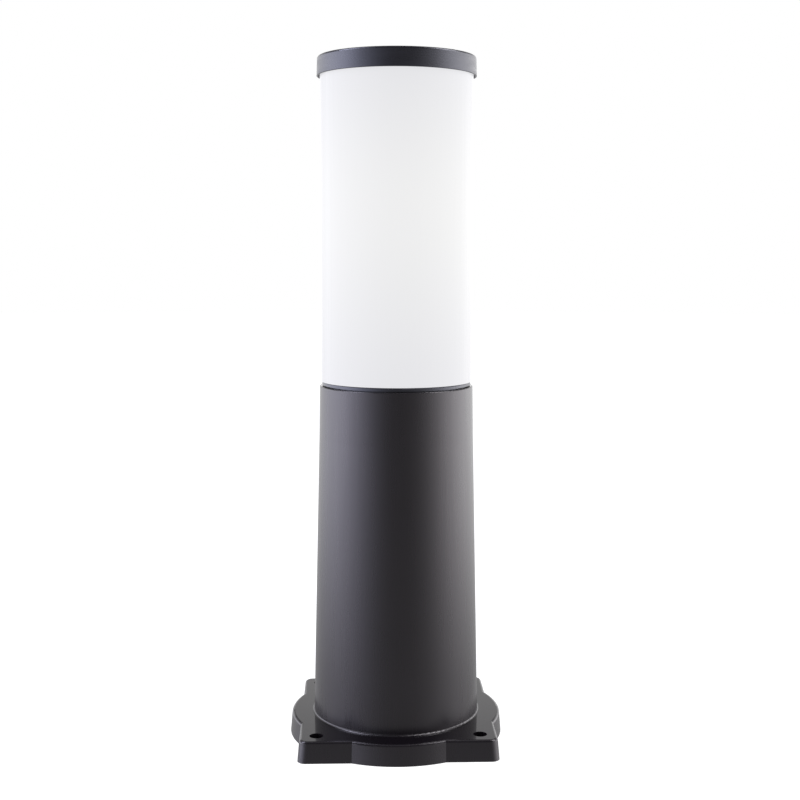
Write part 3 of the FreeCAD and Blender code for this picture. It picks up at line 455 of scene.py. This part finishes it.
def opal_tube():
    """Opal acrylic, whose white is mostly painted light. Its glow stands for the light that its white body
    passes on from all round.

    The sides face the bright walls, so their painted glow is a little weaker; towards the ends the glow is
    painted dimmer as painted shade.
    """
    finish = Finish("opal_tube", (0.11, 0.11, 0.11), roughness=0.3)
    finish.set("Specular IOR Level", 0.03)
    low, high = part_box("diffuser")
    middle = low[2] + GLOW_PEAK * (high[2] - low[2])
    rising = finish.height(low[2] - GLOW_BELOW, middle)
    falling = finish.height(high[2] + GLOW_ABOVE, middle)
    inside = multiply(finish.tree, rising, falling)
    # painted shade: the glow is dimmer towards the tube's ends
    finish.drive("Emission Color", finish.paint(inside, SHADED_GLOW_AT_ENDS, GLOW_IN_MIDDLE))
    sideways = compute(finish.tree, "POWER", finish.facing("X"), 2.0)
    glow = finish.span(sideways, low=GLOW_AHEAD, high=GLOW_SIDEWAYS, start=SIDEWAYS_FROM, end=1.0)
    # painted light: the glow is weaker where the surface faces sideways
    finish.drive("Emission Strength", glow)
    finish.roughness(finish.noise(size=0.003, stretch=DRAW_LINES), low=0.24, high=0.32)
    finish.bump(finish.noise(size=0.004, stretch=DRAW_LINES), height=0.000004)
    return finish.material


ROUGHNESS_SPREAD = 0.05


def moulding(name, colour, roughness, grain=0.0006, depth=0.000012):
    """Plain moulded plastic with an even spark-eroded grain."""
    finish = Finish(name, colour, roughness)
    finish.drive("Base Color", finish.clouds(colour, EVEN_CLOUDS, size=0.01))
    finish.roughness(finish.noise(size=0.004), roughness - ROUGHNESS_SPREAD, roughness + ROUGHNESS_SPREAD)
    finish.bump(finish.noise(grain, detail=2.0), depth)
    return finish.material


def rubber():
    """Dull black rubber with a fine grain."""
    finish = Finish("seal_rubber", (0.012, 0.012, 0.012), roughness=0.75)
    finish.colour(finish.noise(size=0.005), dark=(0.009, 0.009, 0.009), light=(0.02, 0.02, 0.02))
    finish.roughness(finish.noise(size=0.002), low=0.65, high=0.85)
    finish.bump(finish.noise(size=0.0004), height=0.00002)
    return finish.material


def metal(name, dull, bright, rough, polished, brush):
    """Plated or plain metal, dulled in places, with fine brush lines."""
    finish = Finish(name, bright, polished, metallic=1.0)
    finish.colour(finish.noise(size=0.003), dull, bright)
    finish.roughness(finish.noise(size=0.002), polished, rough)
    finish.bump(finish.noise(size=0.0003, stretch=brush), height=0.000003)
    return finish.material


def glazed(name, dark, light):
    """Glaze over a fired body: faint clouds in its colour and a wavy, glassy surface."""
    finish = Finish(name, light, roughness=0.2)
    finish.set("Coat Weight", 0.6).set("Coat Roughness", 0.08)
    finish.colour(finish.noise(size=0.006), dark, light)
    finish.roughness(finish.noise(size=0.003), low=0.16, high=0.26)
    finish.bump(finish.noise(size=0.004), height=0.00003)
    return finish.material


def opal_globe():
    """White plastic dome of the lamp, which lets some light through."""
    finish = Finish("lamp_opal", (0.82, 0.82, 0.80), roughness=0.35)
    finish.set("Subsurface Weight", 0.3).set("Subsurface Radius", (0.004, 0.004, 0.004))
    finish.set("Subsurface Scale", 1.0)
    finish.colour(finish.noise(size=0.02), dark=(0.80, 0.80, 0.78), light=(0.85, 0.85, 0.83))
    finish.roughness(finish.noise(size=0.004), low=0.32, high=0.4)
    finish.bump(finish.noise(size=0.0005, detail=2.0), height=0.000006)
    return finish.material


def laminate():
    """Green board whose solder mask lies a little higher over its copper."""
    finish = Finish("circuit_board", (0.01, 0.09, 0.03), roughness=0.3)
    copper = finish.span(finish.noise(size=0.004, detail=0.0), low=0.0, high=1.0, start=0.48, end=0.5)
    finish.drive("Base Color", finish.paint(copper, (0.008, 0.07, 0.025), (0.02, 0.15, 0.05)))
    finish.roughness(finish.noise(size=0.002), low=0.25, high=0.4)
    finish.bump(copper, height=0.00003)
    return finish.material


MATERIALS = {
    "post_plastic": post_plastic(),
    "cap_plastic": cap_plastic(),
    "opal_tube": opal_tube(),
    "seal_rubber": rubber(),
    "carrier_plastic": moulding("carrier_plastic", (0.014, 0.014, 0.016), roughness=0.5),
    "screw_steel": metal("screw_steel", dull=(0.42, 0.42, 0.44), bright=(0.66, 0.66, 0.68),
                         rough=0.42, polished=0.26, brush=BRUSHED_UPWARDS),
    "porcelain": glazed("porcelain", dark=(0.76, 0.73, 0.66), light=(0.84, 0.82, 0.77)),
    "contact_brass": metal("contact_brass", dull=(0.48, 0.32, 0.13), bright=(0.80, 0.60, 0.28),
                           rough=0.4, polished=0.22, brush=BRUSHED_ACROSS),
    "lamp_opal": opal_globe(),
    "lamp_white": moulding("lamp_white", (0.78, 0.78, 0.76), roughness=0.42, depth=0.000006),
    "led_board": moulding("led_board", (0.80, 0.80, 0.78), roughness=0.35, depth=0.000004),
    "circuit_board": laminate(),
    "cap_metal": metal("cap_metal", dull=(0.55, 0.54, 0.52), bright=(0.78, 0.77, 0.74),
                       rough=0.32, polished=0.16, brush=BRUSHED_ROUND),
    "black_insulator": glazed("black_insulator", dark=(0.01, 0.01, 0.01), light=(0.02, 0.02, 0.02)),
    "box_plastic": moulding("box_plastic", (0.17, 0.17, 0.18), roughness=0.5),
    "block_plastic": moulding("block_plastic", (0.62, 0.60, 0.53), roughness=0.45, depth=0.000006),
    "gland_plastic": moulding("gland_plastic", (0.045, 0.045, 0.05), roughness=0.45),
    "lead_brown": moulding("lead_brown", (0.09, 0.035, 0.015), roughness=0.4, grain=0.0003, depth=0.000004),
    "lead_blue": moulding("lead_blue", (0.02, 0.07, 0.28), roughness=0.4, grain=0.0003, depth=0.000004),
}

for subpart in frame["record"]["subparts"]:
    node = frame["nodes"][subpart["node"]]
    node.data.materials.clear()
    node.data.materials.append(MATERIALS[subpart["material_slot"]])

# ---------------------------------------------------------------- screws

# nodes of plain screws, and whether their heads are on top
SCREW_NODES = {"carrier_screws": True, "lampholder_screws": True,
               "terminal_box_screws": False, "terminal_block_screw": False}
SCREW_BODY = "base"
SCREW_SHAPES = ("threaded", "across", "along")
SCREW_SEGMENTS = 32
THREAD_PITCH = 0.0011
THREAD_ROWS = 6
THREAD_CREST = 0.00138
THREAD_ROOT = 0.00102
TIP_TURNS = 1.5
# the pan head's outline from its seat to its crown, as shares of its radius and height
HEAD_RADIUS = 0.003
HEAD_HEIGHT = 0.0024
HEAD_OUTLINE = ((0.94, 0.0), (1.0, 0.06), (1.0, 0.42), (0.96, 0.62), (0.86, 0.8), (0.68, 0.93), (0.4, 0.99))
RECESS_LENGTH = 0.0034
RECESS_WIDTH = 0.0008
RECESS_DEPTH = 0.0012
SHARP_ANGLE = math.radians(38)
WELD = 1e-6


def solids_of(node):
    """The lowest and highest corner of each separate solid of a CAD node."""
    form = bmesh.new()
    form.from_mesh(frame["nodes"][node].data)
    bmesh.ops.remove_doubles(form, verts=form.verts, dist=WELD)
    unseen = set(form.verts)
    boxes = []
    while unseen:
        reached = [unseen.pop()]
        for vertex in reached:
            beyond = {edge.other_vert(vertex) for edge in vertex.link_edges} & unseen
            unseen -= beyond
            reached.extend(beyond)
        places = [vertex.co for vertex in reached]
        boxes.append([[pick(place[axis] for place in places) for axis in range(3)] for pick in (min, max)])
    form.free()
    return boxes


def add_ring(form, height, radius_at):
    turns = [step / SCREW_SEGMENTS for step in range(SCREW_SEGMENTS)]
    return [form.verts.new((radius_at(turn) * math.cos(math.tau * turn),
                            radius_at(turn) * math.sin(math.tau * turn), height)) for turn in turns]


def thread_radius(height, turn, share):
    """Radius of a pointed thread, thinned by a share near the tip."""
    phase = (height / THREAD_PITCH - turn) % 1.0
    crest = 1.0 - abs(2.0 * phase - 1.0)
    return share * (THREAD_ROOT + (THREAD_CREST - THREAD_ROOT) * crest)


def add_screw(form, length):
    """Threaded shank down from the origin, and a pan head above it. Returns the new vertices."""
    rows = round(length / THREAD_PITCH * THREAD_ROWS)
    rings = []
    for row in range(rows + 1):
        height = length * (row / rows - 1.0)
        share = min(1.0, (row + 1) / (TIP_TURNS * THREAD_ROWS))
        rings.append(add_ring(form, height, lambda turn: thread_radius(height, turn, share)))
    for radius, height in HEAD_OUTLINE:
        rings.append(add_ring(form, height * HEAD_HEIGHT, lambda turn: radius * HEAD_RADIUS))
    for lower, upper in zip(rings, rings[1:]):
        for step in range(SCREW_SEGMENTS):
            after = (step + 1) % SCREW_SEGMENTS
            form.faces.new((lower[step], lower[after], upper[after], upper[step]))
    form.faces.new(rings[-1])
    form.faces.new(rings[0][::-1])
    return [vertex for ring in rings for vertex in ring]


def add_block(form, across, along):
    """Block that cuts one arm of the cross recess. Returns its vertices."""
    size = Matrix.Diagonal((across, along, 2.0 * RECESS_DEPTH, 1.0))
    place = Matrix.Translation((0.0, 0.0, HEAD_HEIGHT))
    return bmesh.ops.create_cube(form, size=1.0, matrix=place @ size)["verts"]


def new_object(name, form):
    mesh = bpy.data.meshes.new(name)
    form.to_mesh(mesh)
    form.free()
    made = bpy.data.objects.new(name, mesh)
    bpy.context.collection.objects.link(made)
    return made


def cut(piece, cutters):
    """Cut the cutters' shapes out of the piece's mesh, and delete the cutters."""
    for cutter in cutters:
        difference = piece.modifiers.new(cutter.name, "BOOLEAN")
        difference.operation = "DIFFERENCE"
        difference.solver = "EXACT"
        difference.object = cutter
    bpy.context.view_layer.update()
    whole = piece.evaluated_get(bpy.context.evaluated_depsgraph_get())
    shaped = bpy.data.meshes.new_from_object(whole)
    piece.modifiers.clear()
    piece.data = shaped
    for cutter in cutters:
        bpy.data.objects.remove(cutter)


def make_screws(node, head_up):
    """Threaded screws with a cross recess where the node's plain ones are."""
    shapes = [bmesh.new() for shape in SCREW_SHAPES]
    for low, high in solids_of(node):
        middle = Vector(((low[0] + high[0]) / 2, (low[1] + high[1]) / 2, 0.0))
        middle.z = high[2] - HEAD_HEIGHT if head_up else low[2] + HEAD_HEIGHT
        place = Matrix.Translation(middle)
        if not head_up:
            place = place @ Matrix.Rotation(math.pi, 4, "X")
        parts = (add_screw(shapes[0], high[2] - low[2] - HEAD_HEIGHT),
                 add_block(shapes[1], RECESS_LENGTH, RECESS_WIDTH),
                 add_block(shapes[2], RECESS_WIDTH, RECESS_LENGTH))
        for shape, vertices in zip(shapes, parts):
            bmesh.ops.transform(shape, matrix=place, verts=vertices)
    piece, *cutters = (new_object(f"{node}_{name}", shape) for name, shape in zip(SCREW_SHAPES, shapes))
    cut(piece, cutters)
    for face in piece.data.polygons:
        face.use_smooth = True
    piece.data.set_sharp_from_angle(angle=SHARP_ANGLE)
    piece.data.materials.append(MATERIALS["screw_steel"])
    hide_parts(node)
    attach(piece, SCREW_BODY)


for screw_node, head_up in SCREW_NODES.items():
    make_screws(screw_node, head_up)
